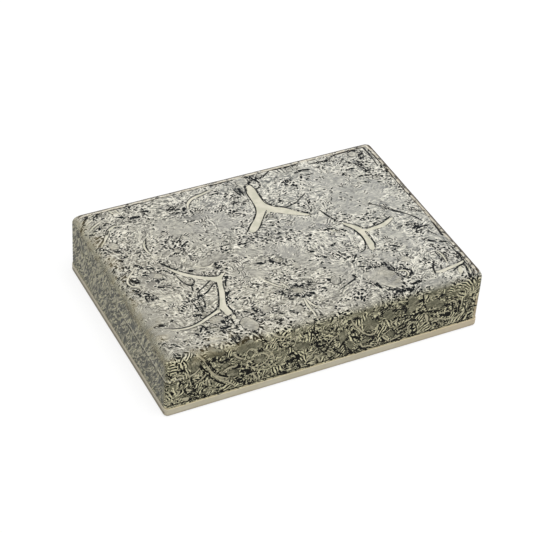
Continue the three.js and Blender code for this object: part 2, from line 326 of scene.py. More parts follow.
ink_lines = stroke_lines(
    "ink",
    """
    3.9 38.6 0.3, 2.9 35 0.35, 2.5 29 0.3, 2 25 0.35, 0.6 21.2 0.4, -2.4 17.2 0.6;
    -3.2 16.2 0.3, -6 13.6 0.5, -8.2 11 0.5; 7.9 37 0.5, 7.5 29 0.7, 8.2 25 0.8, 11 22 1, 14 20.2 0.6;
    16 18 0.6, 19.4 14.6 1, 22.9 11 0.4; 5.4 20.4 0.6, 1.9 16.4 0.4, -3.4 10.2 0.25;
    38.1 -3 0.5, 40 -7 0.7, 43.6 -7.2 0.6, 48.8 -6.4 0.6, 52.6 -4.7 0.6, 54.8 -3.6 0.3;
    39.4 -9.6 0.7, 39.4 -14 0.7, 39.2 -18.6 0.5;
    32.6 -1.6 0.3, 34.8 -5.2 0.5, 36 -9.6 0.5, 36 -14.2 0.5, 34.8 -17.4 0.5, 33 -20 0.4, 30.4 -21 0.3;
    -52 4.6 0.7, -49.6 0.2 0.7, -45.7 -4.2 0.6, -41.7 -7.8 0.6, -36.8 -10.6 0.6, -33.5 -11.6 0.5,
    -32 -11 0.3; -29.8 -14.2 0.3, -31.8 -15.8 0.5, -33 -18.8 0.5;
    -34.7 -23.4 1, -36.4 -26.4 0.6, -37.5 -29.4 0.6, -37.7 -32.4 0.6, -36.8 -36.2 0.5;
    -36 -15.8 0.5, -37.6 -21 0.5, -39.8 -26.4 0.5, -42 -30.2 0.6, -45.6 -32.3 0.6, -49.6 -33.9 0.5,
    -52.8 -35.2 0.4, -58.4 -36.4 0.35, -65 -35.2 0.35, -67.4 -34 0.3; -41.8 -32.2 0.5, -41.3 -34.6 0.5;
    -50 -21.8 0.5, -46.6 -21 0.9, -45.5 -18.2 0.6, -42 -16 0.35, -38 -13.4 0.4;
    -46.4 -21.2 1, -41.8 -19.4 0.5, -38.2 -16.4 0.4, -36.4 -15.6 0.4;
    -46 -21.6 0.8, -45.8 -25.2 0.4, -46.6 -27.6 0.6;
    -49.6 -6 0.3, -48.6 -10.4 0.5, -46.4 -13.2 0.6, -44.2 -11.4 0.5, -44.2 -9.8 0.3;
    -46.4 -13.2 0.5, -47 -16.4 0.4; -50.4 -24.6 0.4, -50.1 -29 0.4; -48.4 -25.4 0.4, -48.5 -29.8 0.5;
    50.4 8.2 0.4, 53.6 5.6 0.5, 56.4 2.8 0.6, 58.8 -1 0.9, 61.8 -3.8 0.5, 65 -8.2 0.6, 66.4 -11.6 0.5;
    27.8 12.2 0.3, 29.2 7.2 0.7, 31.2 2.6 0.6;
    3.8 37.4 0.4, 4.2 39.8 0.6, 6.4 41.4 0.8, 9.6 43.4 0.6, 14.6 43.9 0.6, 17.4 45.4 0.5, 20 47.2 0.4;
    8 36.8 0.4, 10.2 37.4 0.6, 11.6 40.4 0.6, 10.4 43.4 0.7; -1.4 39.6 0.4, -0.4 36 0.6;
    0.6 39.6 0.5, 1.2 37.4 0.9, 1.4 35.4 0.4; 7.6 47.4 0.5, 8.2 44.2 0.8; 9.6 47.2 0.4, 10 44.2 0.6;
    14.2 19.7 0.4, 18 20.4 0.4, 20.8 21.2 0.5, 23.6 23.2 0.4, 27.2 25.6 0.3;
    20 47.2 0.5, 23.6 46.7 0.6, 30 46.4 0.6, 34 46.8 0.4;
    40 44.6 0.4, 44.6 44.3 0.7, 48.8 44.4 0.7, 50.6 45.6 0.6, 54.4 46.6 0.6, 62 46.5 0.6, 65 46 0.4;
    -10 46.6 0.4, -4 46.8 0.4, 1 46.6 0.4; -64 47 0.3, -50 46.6 0.3, -36 47 0.3, -27 46.8 0.4;
    68.5 47.6 0.5, 68.6 40 0.4, 68.2 32 0.3;
    70.2 44 0.4, 70.6 30 0.6, 70.4 12 0.4, 70.8 -8 0.4, 69.6 -24 0.4;
    71.6 40 0.3, 71.8 20 0.4, 71.6 -10 0.4, 71.8 -40 0.4; 69.2 -32 0.3, 69.4 -44 0.4, 68.8 -51 0.3;
    -34 34.6 0.6, -32.8 34.4 1.2, -31.2 34.2 0.8; -11.6 31.4 0.8, -10.4 31.2 0.6;
    -5.6 31.2 0.8, -3 31.4 0.7; -1 30.4 0.6, 1.2 30.4 1; 22 36.8 0.8, 24 37.2 1.2;
    22.6 34.4 1.2, 22.8 34.2 0.8; 30.4 41 0.8, 33 41.6 1; 34.6 41.6 0.9, 36.8 41 0.9;
    31.8 38.6 0.6, 31 36.6 0.8; 34.4 37.6 0.5, 37 37.6 0.5; 56.4 39.4 1, 57.2 38 0.8;
    61 38.4 1, 61.6 35.4 0.8; 54 42.6 0.8, 55.4 42.2 0.8; 63.4 39.8 0.9, 64 42.6 0.7;
    66 43.2 0.8, 65 42.2 0.6; 58.6 37.6 0.4, 62 29.8 0.5; 55.8 34.2 1, 56.2 34 0.8;
    55.4 27.4 0.6, 57.6 27.8 0.8; 59.6 27.4 1, 61.8 26 0.8; 62.8 25.2 0.8, 63.4 24.4 0.6;
    56.8 23 0.8, 58 22.6 0.8; 62.6 20.8 0.8, 63.4 20.4 0.6; 14.2 25.4 0.8, 15 24.6 0.8;
    -51.6 38.4 1, -48.6 38.2 1.2; -57 41 0.6, -55 40.6 0.8; -45.6 40.6 0.8, -43 40.2 0.8;
    -53.6 36 0.6, -51.2 35.6 0.8; -35.2 37.4 0.4, -32.4 39 0.6, -30 39 0.4;
    -27.6 35.8 1.4, -28.2 34.8 0.9; -67.8 13.4 0.9, -66.8 12.4 1; -66 14.6 0.8, -64 14.8 1;
    -66.6 18.6 0.8, -65.4 18.4 0.6; -61.6 18.4 0.9, -61 17.6 0.7; -62.8 7.8 0.8, -61.2 6 1;
    -59.4 5 0.7, -57.8 4.2 1.1, -56.8 2.8 0.6; -56.4 0.4 0.7, -54.2 0.6 0.7;
    -67.4 -0.6 2.2, -66.8 -2 2.4; -69.6 -6.6 1.4, -68.4 -7.8 1.4; -69.4 -9.6 0.8, -68.6 -11 0.7;
    -67.4 -9.6 0.6, -65.4 -11.4 0.8; -65.6 -12.8 0.6, -65 -15.6 0.8; -63.6 -13 0.6, -62.8 -15.4 0.8;
    -67.4 -13.4 0.5, -67.2 -15.6 0.8; -59 -4.8 0.9, -57.4 -5.4 0.9; -56.4 -5 0.6, -54.6 -5.6 0.7;
    -59.2 -9.2 0.8, -57.8 -9.8 0.6; -56.6 -8.8 0.6, -55.6 -9.2 0.5; -43 -4 0.9, -41.4 -4.8 1.1;
    -68.6 -31.4 1.2, -67.4 -31.8 1.2; -70.8 -31.6 0.9, -70.4 -31.8 0.8; -53 -31.2 1.2, -51 -31.8 1.3;
    -14.8 -10.8 0.5, -12.4 -11.2 1.1, -10.8 -11.2 0.4; -10 -10.6 0.6, -8.4 -11.4 1.3, -7 -12.4 0.7;
    -23.4 -5.2 0.7, -22 -6 1; 9.6 -12 0.8, 11.6 -12.6 0.9; 11.6 -16 0.8, 12.4 -16.8 0.8;
    14.4 -17.8 0.9, 15.2 -18.2 0.8; -31.6 -6.6 0.8, -30.6 -6.8 0.6; -31.4 -2.8 0.5, -30 -4 0.7;
    24.4 -2.6 0.4, 25 -1 0.8, 27 -2.2 1, 28.4 -4 0.5; 30.2 -3.6 0.8, 31.6 -5 0.7;
    21.2 -12 0.9, 23 -11.2 0.7; 55 -12 0.8, 56.4 -11.4 0.6; 58.6 -11.8 1, 61 -12 0.8, 63 -13.8 1;
    60.6 -14.8 1, 62.4 -14.2 0.6; 60 -17.6 0.6, 62.6 -17.2 0.5; 63 -15.2 0.6, 67.2 -15.4 0.6;
    61.4 -24 1, 62.6 -25.4 0.9, 64.4 -26.4 0.7; 66.4 -27.4 0.7, 68.8 -28.6 0.7;
    45.4 -21.8 0.5, 46.6 -22.8 0.9, 48.2 -24 0.5; 24 -25.2 0.9, 25 -24.8 0.8;
    26 -23.6 0.5, 27.8 -21.8 0.7; 25 -29.2 0.6, 27 -30 0.8; 29.4 -29.6 0.5, 29.8 -31.4 0.9;
    31.4 -30.4 0.4, 31.4 -32 1; 33.4 -30.6 0.5, 33.2 -32.4 0.9; 35.4 -30.8 0.5, 35 -32.4 0.9;
    36.8 -31 0.6, 36.6 -32.6 0.7; 38.1 -32 0.6, 38.4 -34.6 0.5, 38.8 -37 0.8;
    38.8 -37.4 0.8, 41.6 -37.2 0.8, 43.8 -38.8 0.8, 43.6 -41.8 0.8, 41.4 -44 0.7;
    38.4 -40.2 1.2, 39.2 -41.8 1, 40.4 -43.2 0.5; 45 -39.6 0.6, 44.4 -42.6 0.5;
    24 -40.6 0.7, 25 -41.4 0.9; 23 -45.4 1, 23.6 -45.6 0.8; 27 -41.6 0.8, 27.2 -45 0.9;
    20 -33.4 0.8, 20.8 -35 0.6; 10.4 -39.6 0.3, 15.8 -37.4 0.5, 19.8 -35.8 0.6;
    31 -47.8 0.8, 33.6 -48.4 0.8; 34 -49.6 1, 38.6 -49.6 1; 41.4 -48 0.8, 45 -47.6 1.1;
    38.8 -50.6 0.8, 41 -49.4 0.6; -8.8 -35.2 1, -7.4 -36.4 1; -7.2 -37 0.8, -6 -37.8 0.8;
    -12.6 -34.8 1.1, -11 -35.4 0.8; -12 -37 0.6, -10.8 -37.4 0.8; -5.8 -29.8 0.8, -5 -31 0.8;
    -4 -31 0.5, -2.2 -31.6 0.9; -0.6 -31.6 0.6, 0.8 -32.4 0.8; -0.6 -34.6 0.8, 0.6 -35.4 0.6;
    -2 -36.6 0.9, -0.8 -37.8 0.7; -4.4 -37 0.8, -3.4 -38.4 0.7; 3.4 -35.2 0.5, 5 -36.2 0.9;
    4 -32.6 0.4, 6.4 -33.2 0.6; -10.2 -31 0.7, -9 -32.4 0.9; -14 -33.2 0.6, -12.8 -32.4 0.7;
    -14.6 -30.2 0.8, -13 -31 0.6; -8 -28.8 0.5, -7.2 -30 0.8; 0.4 -30.2 0.6, 2.4 -30.8 0.4;
    -43.9 -39 1.3, -43 -40.4 1.2; -41.8 -37.4 0.6, -38.4 -36.6 0.7; -52 -42.8 0.8, -50.4 -43 0.9;
    -46.4 -42 0.6, -46.2 -45.4 0.9; -44.8 -42.8 0.9, -42.4 -42.8 0.8; -53.6 -39.4 0.5, -55 -41 0.7;
    -57.6 -41.4 0.6, -56.4 -42.8 0.8; -54.8 -46 0.9, -54.2 -47 0.6; -52.8 -38.2 0.7, -52 -40.6 0.6;
    -40 -38.6 0.6, -40.2 -42 0.5; -37.4 -36.4 0.6, -35.8 -36.6 1; -33 -36.8 0.8, -31.4 -37.6 0.8;
    -31 -39.6 1, -30.4 -40.8 0.8; -29 -44 0.6, -25.6 -45.4 0.7, -22 -46.4 0.5;
    -23.4 -48.2 0.8, -20.8 -47.2 1.1; -28.8 -37.4 0.7, -28.4 -38.8 0.6; -19.6 -43.4 0.8, -18.8 -44 0.6;
    -15.2 -44.4 0.6, -13.4 -46 0.5; -74.4 41.2 1, -72.6 41.9 1;
    -72.4 43.2 0.7, -70.6 45 0.8, -69.4 46 0.5;
    -70 35.6 0.8, -68.8 36 1, -67.4 36.6 0.9, -66.4 37.4 0.5;
    -64.9 37.9 0.6, -63.4 38.6 1, -62.6 38.4 0.6; -67.2 43.6 0.7, -65.6 44.6 0.8;
    -64 42.6 0.6, -62.6 43 0.6; -65.4 45.8 0.5, -63.6 46.6 0.6; -72.2 24.6 0.7, -71.4 22.6 0.8;
    -72 26 0.5, -69.8 27.6 0.6, -68.6 29.2 0.5; -66 31.6 0.5, -64.8 33.4 0.6;
    -66.6 19.4 0.8, -65.4 19 0.6; -70.4 31 0.7, -68.8 31.6 0.5; -72.6 35 0.6, -71.4 33.8 0.5;
    -53.8 16.8 0.5, -53.2 19.4 0.5, -51.6 22.6 0.4; -60.6 34.6 0.6, -59 34.2 0.6;
    69.9 -20 0.5, 69.6 -24 0.6; 71 -20.4 0.6, 70.9 -23.6 0.6; 67.4 -38.6 1, 68 -40 0.8;
    70 -37 0.5, 70.4 -40 0.5; 62.9 -34 0.4, 63.4 -37 0.7, 62.6 -40.4 0.5; 60.8 -33.6 0.4, 61 -37 0.4;
    56.6 -39 0.5, 54.6 -42 0.6, 53.6 -45.6 0.5; 58.4 -42 0.5, 57.6 -43.8 0.4;
    62 -47 0.5, 65.6 -45.4 0.6, 68.6 -44.8 0.6; 70.2 -46.6 0.7, 71.4 -45 0.6, 71.8 -43.6 0.8;
    67.8 -51 0.7, 67.6 -48.6 0.6; 69.9 -51 0.6, 69.8 -47.4 0.6; 65.2 -19 0.4, 67.4 -22.6 0.4""",
    """
    -59.6 23.2 0.8, -57.9 20.2 1, -56.1 17.8 0.9, -57.4 16 0.7, -59.8 14.4 0.5;
    -57.4 25.2 0.4, -55.4 21.6 0.6, -52 16.4 0.6, -47 12.9 0.6; -55.4 16 0.5, -51.6 12 0.7, -48 9 0.5;
    -53.8 24.6 1.6, -53.2 24.4 1.2; -50.4 25 0.8, -48.8 25.3 1.2;
    -51.2 22.8 0.5, -49.4 21.6 0.8, -47 22 0.5; -47.2 22.8 0.5, -45.8 23.2 0.8;
    -54.2 20.2 0.7, -53.2 19 0.7; -73.8 23.4 0.8, -73.4 21.4 0.9; -69.4 23.6 0.9, -67.2 23.6 1.1;
    -67.8 17.6 0.5, -67 15.8 0.6; -63.6 17.6 0.7, -62.6 14.4 0.8; -62.6 12.8 1, -62.4 12 0.9;
    -57.8 11.4 0.9, -56.6 10.6 0.9; -64.4 9.8 0.6, -62 10 0.9; -62.4 7.8 1.2, -61.2 7 0.9;
    -63.6 6.6 0.6, -63.4 4.8 0.9; -60.2 8 0.6, -59.8 6 0.9; -58 7 0.4, -56 5.6 0.6;
    -66.6 12.8 0.6, -65.6 10.6 0.7; -44.4 31.4 0.9, -42.6 29.2 0.9; -40.2 29.4 1.4, -39 29.6 1.2;
    -42 31.8 0.7, -41.2 30.4 0.7; -40.4 14.6 2.4, -39.8 14 1.8; -38.2 13.6 0.9, -37.6 12.8 1.1;
    -36 13 0.6, -35.4 12 0.8; -38 11.2 0.9, -36 11.4 0.7; -43.6 16.4 0.8, -41.8 16.6 1.2;
    -43.4 9.8 0.9, -42.4 8.8 0.9; -41.4 9 1.6, -40.6 8 1.6; -38.6 6.8 1.6, -37.4 6.4 1.4;
    -35.4 9 0.5, -35 6 0.6; -34.4 31.6 0.7, -31.4 28 0.8, -28.6 25.4 0.7; -23.6 23.6 1, -22.6 23.4 0.8;
    -24.2 22 0.7, -23.4 21.4 0.7; -33 22.4 1.2, -31 22.2 0.9; -18 15.2 1.2, -17 15.4 1.1;
    -19.2 11.8 0.9, -18.6 11 0.8; -14.4 13.2 1.2, -14.2 11.4 1.4; -19.6 19.4 0.6, -18.2 19.6 0.7;
    -16.6 12.4 0.7, -16.2 10.6 0.7; -20.6 6.4 0.8, -19.8 5.6 0.7; -14 8 0.9, -13 6.4 0.9;
    -22.8 7 0.5, -22 6.2 0.6; -9.2 25.4 1.2, -7.6 24 1.2, -5.6 22.2 1.8; -9 17.8 0.7, -8 17.2 0.9;
    -6.2 17.6 0.8, -5.2 17.4 0.8; -5 15.4 0.9, -4.8 14.6 0.9; -3.4 15.4 1, -2.6 14 1.2;
    -2.6 17.4 0.6, -1.6 16.6 0.9; -1 14.8 0.9, -0.4 14 0.8; -4.6 12.6 0.5, -4.4 10.8 0.8;
    -3.4 12 0.5, -2.2 11 0.6; -0.8 11.2 0.6, -0.6 9.2 0.8; 0.4 22.4 1.6, 1.4 23.4 1;
    3 21.4 0.8, 3.8 22.6 0.6; 4.4 20.2 0.8, 5.4 20 0.6; 2.4 15.4 1, 3.6 16.4 1.2;
    0 12.4 0.8, 1.8 13.2 1, 3.2 10.6 0.9, 5 8.2 0.7, 7.2 6.6 0.5; 2.4 7.6 0.5, 3.2 6.8 1.1;
    1.4 6.2 0.8, 2 5.8 0.8; 1.4 28.6 0.9, 2.8 28.2 0.8; 8 22 0.7, 8.6 20.8 0.8;
    12.6 25.2 0.7, 13.2 24.4 0.6; 11.2 17.2 1.2, 12 17.6 1.2; 12 14.6 0.7, 14 13.4 1, 15.2 13 0.6;
    14.6 11.8 0.8, 15 10.6 1; 7.6 13.4 0.4, 8.6 9.4 0.6, 10.2 5.4 0.6;
    10 8.6 0.5, 11.4 6.4 0.7, 12.6 4.9 0.6; 13.2 6 0.6, 14.8 7 0.7;
    5.2 10.4 0.5, 6.6 11.4 0.6, 7 13 0.5; 17.6 14 0.3, 20 12 0.4, 21.4 11.4 0.8, 23.6 12 0.5;
    15.6 8 0.5, 16.4 6.4 0.7, 20 5.9 0.7, 22 4.9 0.5; 20.4 9 1, 21.6 9 0.9; 20 24 0.7, 20.6 21.6 0.6;
    25.8 25 0.8, 27.2 25 0.8; 28 27 0.8, 28.6 26.6 0.7; 24.8 31.6 0.5, 25 28 0.7, 25.2 26 0.5;
    26 11.2 0.7, 28.4 12.8 0.8, 30.4 13.8 0.7;
    26 9.4 0.5, 27.6 7 0.8, 29.8 5.3 0.7, 34 6 0.7, 36 6.4 0.6;
    30.8 12.8 0.4, 32.6 10.4 0.5, 34 8.4 0.5; 34.6 13 0.5, 37 13.6 0.8; 34.4 10.8 0.7, 37.6 11.6 0.9;
    35.2 8.6 0.7, 38.2 9.6 0.9; 36 6.8 0.8, 39 7.6 1; 37 5.2 0.7, 39.2 5.4 0.8;
    37.6 12.8 0.7, 38.4 13.6 0.9; 41.2 10.6 2, 42 9.8 1.8; 40 15 0.7, 41 14 0.7;
    41.6 14.2 0.7, 43.4 13.4 0.9; 40.4 6 1.4, 42.6 6.4 1.4; 34.8 24.8 0.6, 36.4 22.6 0.8, 37 20.8 0.7;
    35.8 21 1.8, 36 20 1.6; 34 23 0.7, 34.8 22.2 0.7; 31.2 23 1, 31.8 22.8 0.9;
    33.8 17.4 0.6, 34.4 16.8 0.7; 35.4 17.6 0.6, 36.4 16.6 0.8, 37.2 17.6 0.6;
    44.8 27 0.4, 45.2 24 0.6, 45.8 21.6 0.6, 46.8 19.4 0.5; 42.2 17 1, 44 17.2 0.9, 46 17 1;
    46.4 16.9 0.5, 50 16.1 0.8, 53.4 15.2 0.7, 56 14.8 0.4; 50.6 13.4 0.8, 53 12 0.9, 55.4 12.2 1;
    57.4 11.6 1.2, 59.4 11.4 1.6; 59.6 17.2 1.2, 60.8 16.4 1.2; 62 14.4 0.8, 62.6 13.4 1.1;
    62.8 11.8 0.8, 64.2 11.6 0.9; 57 22 0.9, 57.2 20.6 0.8; 57.2 17.2 0.9, 58.4 17 0.8;
    59 20.6 0.6, 62 20.2 0.7; 64 13.4 0.6, 64.4 16 0.9, 63.6 18 0.6; 60.4 28.4 0.9, 60.2 28 0.7;
    61.8 29.4 0.9, 62.4 29.2 0.8; 68.2 28.6 0.8, 69.2 28.2 0.9; 71.6 27.6 0.6, 72.4 29.4 0.7;
    50 10.2 0.4, 51 8.4 0.6, 53 8.8 0.6, 54.6 6.4 0.6; 55.4 9 0.5, 56.6 7.8 0.7;
    57.4 7.6 0.6, 60.2 7.6 0.6; 63.6 4.9 0.5, 66.6 6.4 0.7, 68.2 8 0.6;
    69.4 11.2 0.9, 70 12.4 0.8, 70.8 15.4 0.6; 70 6 0.8, 70.2 7.6 1, 71.2 8.2 0.8;
    70.4 12 0.5, 73 12 0.5; 67 13.6 0.5, 68.2 10 0.5;
    -74 5.9 0.4, -66 5.7 0.5, -58 5.1 0.4, -48 5.2 0.5, -38 5.1 0.5, -30 5.6 0.3, -20 5 0.6,
    -14 5.4 0.5, -6 5.2 0.3, 2 5.2 0.4, 12 4.8 0.5, 22 4.9 0.5, 30 5.1 0.5, 38 4.9 0.5, 48 4.9 0.5,
    64 4.9 0.4, 72 5 0.4""",
)
stone_lines = stroke_lines(
    "stone",
    """
    4.2 45.4 5.6, 4.2 43 5.2; -9 -32.4 3, -5.6 -33.4 4; -46.6 -37.2 5.2, -44.8 -37.4 4.6;
    -34.4 -43.2 6.4, -34 -45.4 6.6; -24.2 -38.8 4.2, -23.4 -39 4; -11.6 -43.6 4.4, -11.2 -44 4.2;
    26 -36 5, 30.6 -38.6 11.5, 34 -43 9; -66.6 23.4 4.2, -66.2 22.8 4.2; -58.4 -1.4 4, -56.6 -2.4 3.6;
    61.4 43.8 4.4, 62.4 43.4 4; 45.4 -31.6 4.4, 46.4 -32.6 4; 12 -33 4.6, 11.6 -34 4.6""",
    """
    -54.6 28.6 4.4, -50.8 27.2 4; -62.4 25.4 6, -61.6 22.8 4.6; -46 14.6 3, -43.6 14 4;
    -41 26 5, -37 27 4.6, -34 25.6 4; -36.8 22.4 2.4, -36.4 21.8 2.2; -32.6 17.6 4.4, -31.8 17.2 4.2;
    -49 19.4 2.6, -47.6 19.6 3; -14.6 18.4 4.4, -11 17.4 4; 5.6 16.4 2.6, 7.2 18.2 3.2, 6.6 14 2.6;
    10.8 11 3, 11.4 9.4 3; 18.4 21 5, 21.6 17.6 4, 18 17.6 3; 28 22 5, 29.6 20 4;
    30.6 10 3.2, 31.4 8.6 3; 38.6 19.4 3, 40.6 22.6 5, 39 27 3.4;
    48.4 20.4 3.4, 51.6 20 4.4, 54.6 18.2 3.6; 17.6 10 2.4, 19.4 11.4 2""",
)
calm_lines = stroke_lines(
    "calm",
    """
    -40 25 12, -30 24 16, -18 22 16; -32 14 9, -24 12 9;
    38 34 10, 46 26 12, 42 12 17, 54 14 13, 60 22 7; 10 7 8, 22 5 9, 29 8 4;
    -16 -2 6, -4 -4 7, 2 -10 9, 5 -20 8; -38 -1 6, -26 -1 6; -70 -22 7, -69 -34 9, -64 -42 6;
    -64 -3 4, -60 -8 5; 48 -13 6, 53 -23 6; 66 -23 4, 70 -24 4; 30 -21 5, 42 -28 7; 14 -22 5, 17 -34 6;
    -14 -19 4, -24 -14 6; -46 5 5, -50 12 6; 62 4 5, 56 -2 4""",
    """
    12 31 5, 18 26 8, 22 20 6, 30 20 6; 46 31 6, 54 28 8, 60 22 6, 50 20 5; 38 26 5, 40 22 4;
    -10 20 5, -14 17 5; -42 25 5, -36 26 4; -32 19 4, -26 20 3; 6 19 3, 9 14 4; -74 16 4, -70 15 3;
    48 11 3, 50 15 3; 68 26 5, 72 24 4""",
)
wash_lines = stroke_lines(
    "wash",
    """
    -72 34 4, -73 12 8, -72 -2 10, -73 -14 6; -62 4 3, -60 -5 5; -52 38 5, -48 36 4; -33 35 7, -27 29 6;
    -15 5 6, -4 6 8, 2 3 5; -30 -4 4, -26 -3 4; -42 16 4, -38 13 4; -13 -31 6, -4 -35 7;
    -52 -34 6, -46 -42 6; -30 -36 3, -29 -44 4; -2 43 5, 2 38 4; 60 38 5, 62 30 3; 60 -12 5, 66 -16 4;
    34 -38 6, 38 -46 8, 43 -50 6; -73 -44 8, -70 -49 10, -62 -51 5; 24 1 4, 30 2 3; 54 6 4, 56 0 3;
    24 -40 4, 18 -48 4; -42 -50 5, -36 -50 4""",
    """
    -58 31 4, -52 26 4, -48 24 3; -74 30 4, -72 24 4; -62 18 3, -61 10 5, -58 7 4;
    -42 17 4, -40 10 5, -39 7 4; -4 28 2, -8 24 4, -4 18 4, -2 15 3; -14 12 4, -15 7 5;
    36 23 3, 36 19 4; 43 16 3, 42 10 4, 40 7 4; 60 16 4, 58 12 4; 28 31 3, 26 27 3; 22 9 3, 26 10 3;
    4 8 3, 12 8 3; -26 14 3, -24 8 4; 70 14 2, 69 7 4""",
)


class Tree:
    """A node tree that adds any node with one call and hands back its output as a Field."""

    def __init__(self, tree):
        self.tree = tree

    def node(self, kind, settings=None, inputs=None, output=0):
        made = self.tree.nodes.new(kind)
        for name, value in (settings or {}).items():
            if name == "stops":
                scale = made.color_ramp.elements
                while len(scale) < len(value):
                    scale.new(1)
                for stop, (position, colour) in zip(scale, value):
                    stop.position, stop.color = position, colour
            else:
                setattr(made, name, value)
        for name, value in (inputs or {}).items():
            if isinstance(value, Field):
                self.tree.links.new(value.socket, made.inputs[name])
            else:
                made.inputs[name].default_value = value
        return Field(self, made.outputs[output]) if made.outputs else None

    def mix(self, amount, under, over):
        return self.node("ShaderNodeMix", {"data_type": "RGBA"}, {"Factor": amount, 6: under, 7: over}, 2)


class Field:
    """A socket's value over the surface. Arithmetic on it adds the Math nodes."""

    def __init__(self, tree, socket):
        self.tree, self.socket = tree, socket

    def other(self, output):
        return Field(self.tree, self.socket.node.outputs[output])

    def math(self, operation, *values):
        return self.tree.node("ShaderNodeMath", {"operation": operation}, dict(enumerate(values or [self])))

    def __add__(self, value):
        return self.math("ADD", self, value)

    def __sub__(self, value):
        return self.math("SUBTRACT", self, value)

    def __rsub__(self, value):
        return self.math("SUBTRACT", value, self)

    def __mul__(self, value):
        return self.math("MULTIPLY", self, value)

    def __truediv__(self, value):
        return self.math("DIVIDE", self, value)

    def __rtruediv__(self, value):
        return self.math("DIVIDE", value, self)

    __radd__ = __add__
    __rmul__ = __mul__

    def larger(self, value):
        return self.math("MAXIMUM", self, value)

    def smaller(self, value):
        return self.math("MINIMUM", self, value)

    def size(self):
        return self.math("ABSOLUTE")

    def sine(self):
        return self.math("SINE")

    def ramp(self, start, end):
        """0 at start and 1 at end, smooth between them, whichever is larger."""
        settings = {"interpolation_type": "SMOOTHSTEP"}
        inputs = {"Value": self, "From Min": start, "From Max": end}
        return self.tree.node("ShaderNodeMapRange", settings, inputs)

    def vector(self, operation, *values, output="Vector"):
        inputs = dict(enumerate((self, *values)))
        return self.tree.node("ShaderNodeVectorMath", {"operation": operation}, inputs, output)

    def moved(self, offset):
        return self.vector("ADD", offset)

    def stretched(self, factors):
        return self.vector("MULTIPLY", factors)

    def scaled(self, factor):
        return self.tree.node("ShaderNodeVectorMath", {"operation": "SCALE"}, {0: self, "Scale": factor})

    def parts(self):
        x = self.tree.node("ShaderNodeSeparateXYZ", {}, {"Vector": self})
        return x, x.other("Y"), x.other("Z")


def laid_strokes_tree():
    """Measures every point of the paper from the nearest stroke: its distance from the middle of the
    stroke, with a sign for the side and without, the stroke's width there, and the way that leads off
    it. It keeps these under the stroke's name for the colours, and raises the strokes by their height."""
    spacing = 0.0002
    smoothness = 10
    wave_scale = 110.0
    group = bpy.data.node_groups.new("laid strokes", "GeometryNodeTree")
    inputs = {"Geometry": "Geometry", "Lines": "Object", "Stroke Name": "String", "Way Name": "String"}
    inputs |= {"Stroke Height": "Float", "Soft Edge": "Float", "Unevenness": "Float", "Paper": "Material"}
    for name, kind in inputs.items():
        group.interface.new_socket(name, in_out="INPUT", socket_type="NodeSocket" + kind)
    group.interface.new_socket("Geometry", in_out="OUTPUT", socket_type="NodeSocketGeometry")
    tree = Tree(group)
    given = tree.node("NodeGroupInput")
    lines = tree.node("GeometryNodeObjectInfo", {}, {"Object": given.other("Lines")}, "Geometry")
    curve = tree.node("GeometryNodeMeshToCurve", {}, {"Mesh": lines})
    curve = tree.node("GeometryNodeCurveSplineType", {"spline_type": "CATMULL_ROM"}, {"Curve": curve})
    curve = tree.node("GeometryNodeSetSplineResolution", {}, {"Geometry": curve, "Resolution": smoothness})
    curve = tree.node("GeometryNodeResampleCurve", {"mode": "LENGTH"}, {"Curve": curve, "Length": spacing})
    dots = tree.node("GeometryNodeCurveToPoints", {"mode": "EVALUATED"}, {"Curve": curve})
    nearest = tree.node("GeometryNodeSampleNearest", {"domain": "POINT"}, {"Geometry": dots})
    place = tree.node("GeometryNodeInputPosition")
    normal = tree.node("GeometryNodeInputNormal")

    def at_nearest(kind, value):
        settings = {"data_type": kind, "domain": "POINT"}
        inputs = {"Geometry": dots, "Value": value, "Index": nearest}
        return tree.node("GeometryNodeSampleIndex", settings, inputs)

    def named(name):
        return tree.node("GeometryNodeInputNamedAttribute", {"data_type": "FLOAT"}, {"Name": name})

    away = place.vector("SUBTRACT", at_nearest("FLOAT_VECTOR", place))
    apart = away.vector("LENGTH", output="Value")
    width = at_nearest("FLOAT", named("stroke_width"))
    left = normal.vector("CROSS_PRODUCT", at_nearest("FLOAT_VECTOR", dots.other("Tangent")))
    side = left.vector("DOT_PRODUCT", away, output="Value").math("SIGN")
    measured = tree.node("ShaderNodeCombineXYZ", {}, {"X": apart * side, "Y": apart, "Z": width})
    kept = given
    for name, value in (("Stroke Name", measured), ("Way Name", away.vector("NORMALIZE"))):
        settings = {"data_type": "FLOAT_VECTOR", "domain": "POINT"}
        inputs = {"Geometry": kept, "Name": given.other(name), "Value": value}
        kept = tree.node("GeometryNodeStoreNamedAttribute", settings, inputs)
    soft = given.other("Soft Edge")
    waves = tree.node("ShaderNodeTexNoise", {}, {"Vector": place, "Scale": wave_scale, "Detail": 2.0}) - 0.6
    rise = (apart - width / 2).ramp(soft, soft * -1) * given.other("Stroke Height")
    rise += waves * given.other("Unevenness")
    offset = normal.scaled(rise * named("outside"))
    raised = tree.node("GeometryNodeSetPosition", {}, {"Geometry": kept, "Offset": offset})
    whole = tree.node("GeometryNodeRealizeInstances", {}, {"Geometry": raised})
    inputs = {"Geometry": whole, "Material": given.other("Paper")}
    dressed = tree.node("GeometryNodeSetMaterial", {}, inputs)
    tree.node("NodeGroupOutput", {}, {"Geometry": dressed})
    return group


strokes_tree = laid_strokes_tree()


